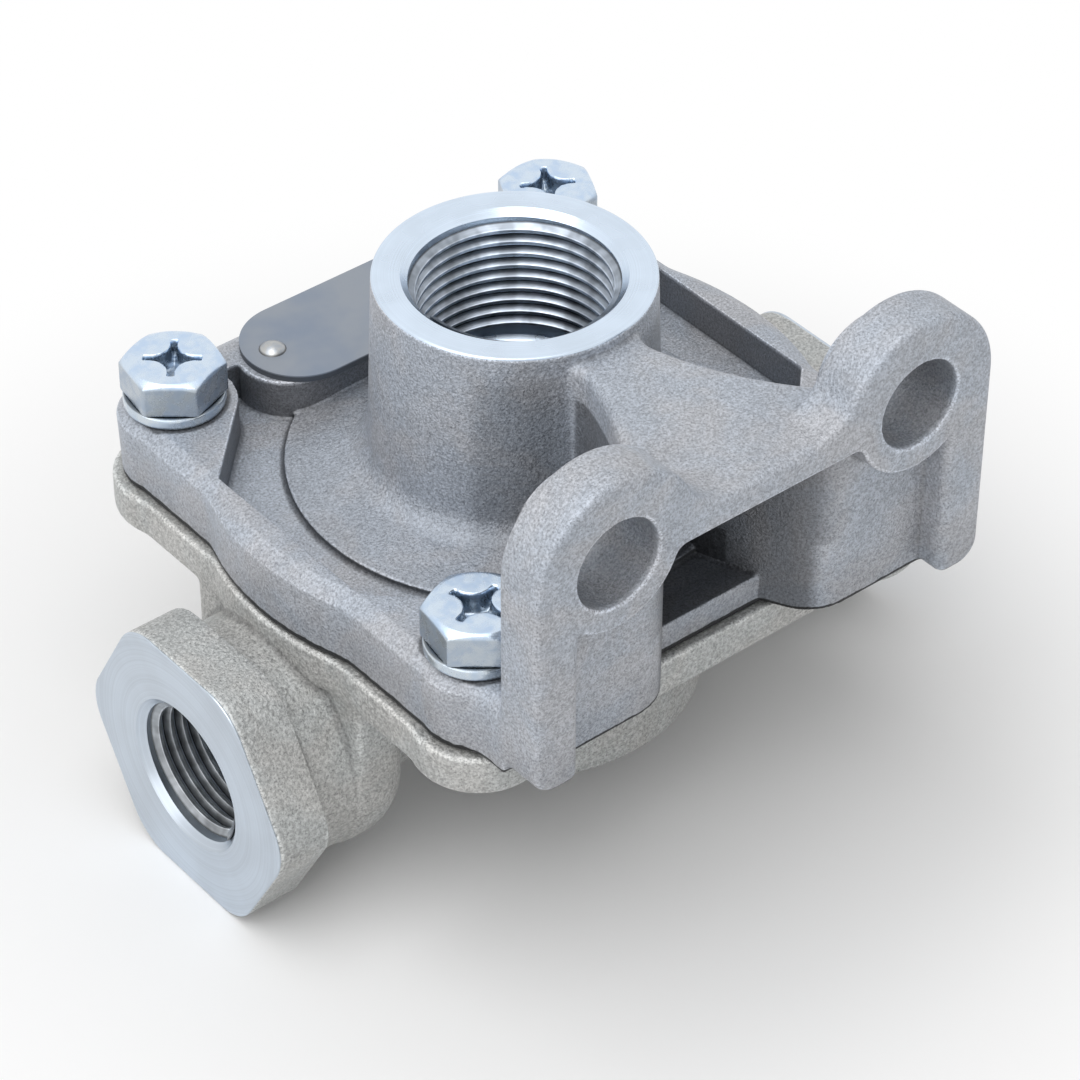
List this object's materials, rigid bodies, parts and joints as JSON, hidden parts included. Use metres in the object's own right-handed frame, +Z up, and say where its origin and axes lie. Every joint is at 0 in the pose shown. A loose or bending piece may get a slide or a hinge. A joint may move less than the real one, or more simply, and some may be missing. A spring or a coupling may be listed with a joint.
{
  "type": "quick exhaust valve",
  "caption": "Die-cast quick exhaust valve for air brakes: square cover with a threaded inlet boss and a two-hole bracket, on a body with hexagon delivery ports and a flap-covered exhaust.",
  "frame": {"origin": "centre of the inlet port's mouth, on the machined face of the inlet boss", "axes": "+Z up out of the inlet port along the valve's axis, X along the two delivery ports, the mounting bracket on the -Y side"},
  "size_m": [0.0882, 0.0729, 0.0664],
  "materials": {
    "cover_casting": "die-cast, fine grain",
    "body_casting": "die-cast, coarse grain",
    "plate_metal": "satin",
    "rivet_metal": "bright",
    "zinc_steel": "bright zinc",
    "spring_steel": "bright zinc",
    "black_rubber": "matt"
  },
  "bodies": {
    "valve": {"cover": "cover_casting", "body": "body_casting", "name_plate": "plate_metal", "name_plate_rivet_left": "rivet_metal", "name_plate_rivet_right": "rivet_metal", "cover_screw_left": "zinc_steel", "cover_screw_near": "zinc_steel", "cover_screw_back": "zinc_steel", "cover_screw_right": "zinc_steel", "lock_washer_left": "spring_steel", "lock_washer_near": "spring_steel", "lock_washer_back": "spring_steel", "lock_washer_right": "spring_steel", "cover_seal": "black_rubber", "exhaust_flap": "black_rubber", "flap_washer": "zinc_steel", "flap_screw": "zinc_steel"},
    "diaphragm": {"diaphragm": "black_rubber"}
  },
  "joints": [
    {"name": "diaphragm_lift", "type": "slide", "parent": "valve", "child": "diaphragm", "axis": [0, 0, 1], "range_m": [0, 0.0016]}
  ]
}
